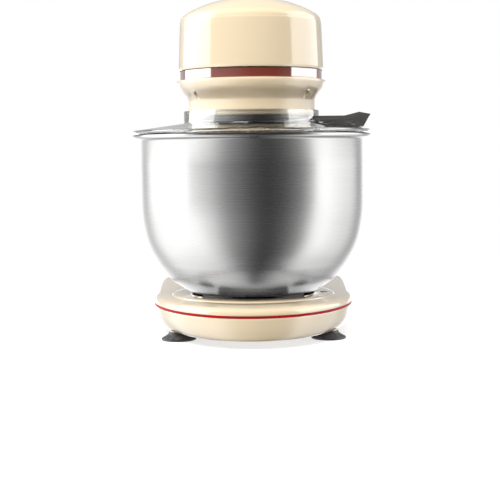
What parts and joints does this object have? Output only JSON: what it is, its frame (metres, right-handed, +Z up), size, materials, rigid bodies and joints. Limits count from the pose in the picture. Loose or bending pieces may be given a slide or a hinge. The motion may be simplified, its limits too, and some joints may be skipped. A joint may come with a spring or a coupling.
{
  "type": "tilt-head stand mixer",
  "caption": "Tilt-head stand mixer with planetary drive, flat beater, locking steel bowl, clear splash guard with feed chute, speed dial and suction feet.",
  "frame": {"origin": "on the floor under the middle of the machine's outline, feet at z 0", "axes": "+Z up, +X to the right seen from the nose, -Y towards the nose, +Y towards the column"},
  "size_m": [0.236, 0.3563, 0.3321],
  "materials": {
    "cream_plastic": "glossy cream moulding",
    "red_trim": "glossy dark red",
    "bowl_steel": "brushed round the bowl",
    "shaft_steel": "ground",
    "dark_steel": "zinc plated sheet",
    "cast_alloy": "die cast, satin",
    "black_plastic": "fine satin",
    "rubber": "soft matt",
    "clear_plastic": "clear moulded plastic",
    "smoked_plastic": "dark smoked plastic",
    "copper": "lacquered windings",
    "nylon": "natural nylon",
    "board_green": "coated board",
    "iron": "painted iron"
  },
  "bodies": {
    "base": {"base_lower_shell": "cream_plastic", "base_seam_trim": "red_trim", "base_upper_shell": "cream_plastic", "lock_arrow": "black_plastic", "bowl_seat_ring": "dark_steel", "ballast_plate": "iron", "cable_gland": "black_plastic", "suction_foot_front_right": "rubber", "suction_foot_front_left": "rubber", "suction_foot_rear_right": "rubber", "suction_foot_rear_left": "rubber", "column_front_shell": "cream_plastic", "column_rear_shell": "cream_plastic", "hinge_bracket": "dark_steel", "hinge_pin": "shaft_steel", "balance_spring": "shaft_steel", "control_board": "board_green", "speed_switch": "black_plastic"},
    "dial": {"speed_knob": "black_plastic", "knob_pointer": "red_trim", "knob_shaft": "shaft_steel"},
    "release": {"release_button": "black_plastic", "latch_bar": "shaft_steel"},
    "head": {"head_upper_shell": "cream_plastic", "head_band": "red_trim", "head_lower_shell": "cream_plastic", "nose_screw_right": "dark_steel", "nose_screw_left": "dark_steel", "head_frame": "cast_alloy", "idler_axle": "shaft_steel", "motor_stator": "dark_steel", "brush_holder_right": "black_plastic", "brush_holder_left": "black_plastic", "ring_gear": "dark_steel"},
    "rotor": {"motor_shaft": "shaft_steel", "motor_pinion": "shaft_steel", "motor_rotor": "copper", "commutator": "copper"},
    "idler": {"idler_gear": "nylon"},
    "carrier": {"main_gear": "nylon", "main_shaft": "shaft_steel", "planet_carrier": "black_plastic"},
    "tool": {"planet_pinion": "shaft_steel", "tool_shaft": "shaft_steel", "tool_pin": "shaft_steel", "flat_beater": "cast_alloy"},
    "guard": {"splash_guard": "clear_plastic", "feed_chute": "smoked_plastic"},
    "bowl": {"mixing_bowl": "bowl_steel", "bowl_foot": "bowl_steel"}
  },
  "joints": [
    {"name": "head_tilt", "type": "hinge", "parent": "base", "child": "head", "pos_m": [0, 0.1545, 0.2254], "axis": [-1, 0, 0], "range_deg": [0, 50]},
    {"name": "speed_dial", "type": "hinge", "parent": "base", "child": "dial", "pos_m": [0.07, 0.1175, 0.1242], "axis": [1, 0, 0], "range_deg": [-30, 210]},
    {"name": "head_release", "type": "slide", "parent": "base", "child": "release", "axis": [1, 0, 0], "range_m": [0, 0.005], "stiffness_N_per_m": 400},
    {"name": "carrier_spin", "type": "hinge", "parent": "head", "child": "carrier", "pos_m": [0, -0.0595, 0.212], "axis": [0, 0, 1], "continuous": true},
    {"name": "idler_spin", "type": "hinge", "parent": "head", "child": "idler", "pos_m": [0, 0.0065, 0.245], "axis": [0, 0, 1], "continuous": true},
    {"name": "motor_spin", "type": "hinge", "parent": "head", "child": "rotor", "pos_m": [0, 0.05, 0.25], "axis": [0, 0, 1], "continuous": true},
    {"name": "tool_spin", "type": "hinge", "parent": "carrier", "child": "tool", "pos_m": [0, -0.0345, 0.2], "axis": [0, 0, 1], "continuous": true},
    {"name": "guard_twist", "type": "hinge", "parent": "head", "child": "guard", "pos_m": [0, -0.0595, 0.21], "axis": [0, 0, 1], "range_deg": [-25, 0]},
    {"name": "bowl_twist", "type": "hinge", "parent": "base", "child": "bowl", "pos_m": [0, -0.0595, 0.05], "axis": [0, 0, 1], "range_deg": [0, 30]}
  ],
  "couplings": [
    {"joint": "idler_spin", "follows": "carrier_spin", "ratio": -5},
    {"joint": "motor_spin", "follows": "carrier_spin", "ratio": 24},
    {"joint": "tool_spin", "follows": "carrier_spin", "ratio": -2.6667}
  ]
}
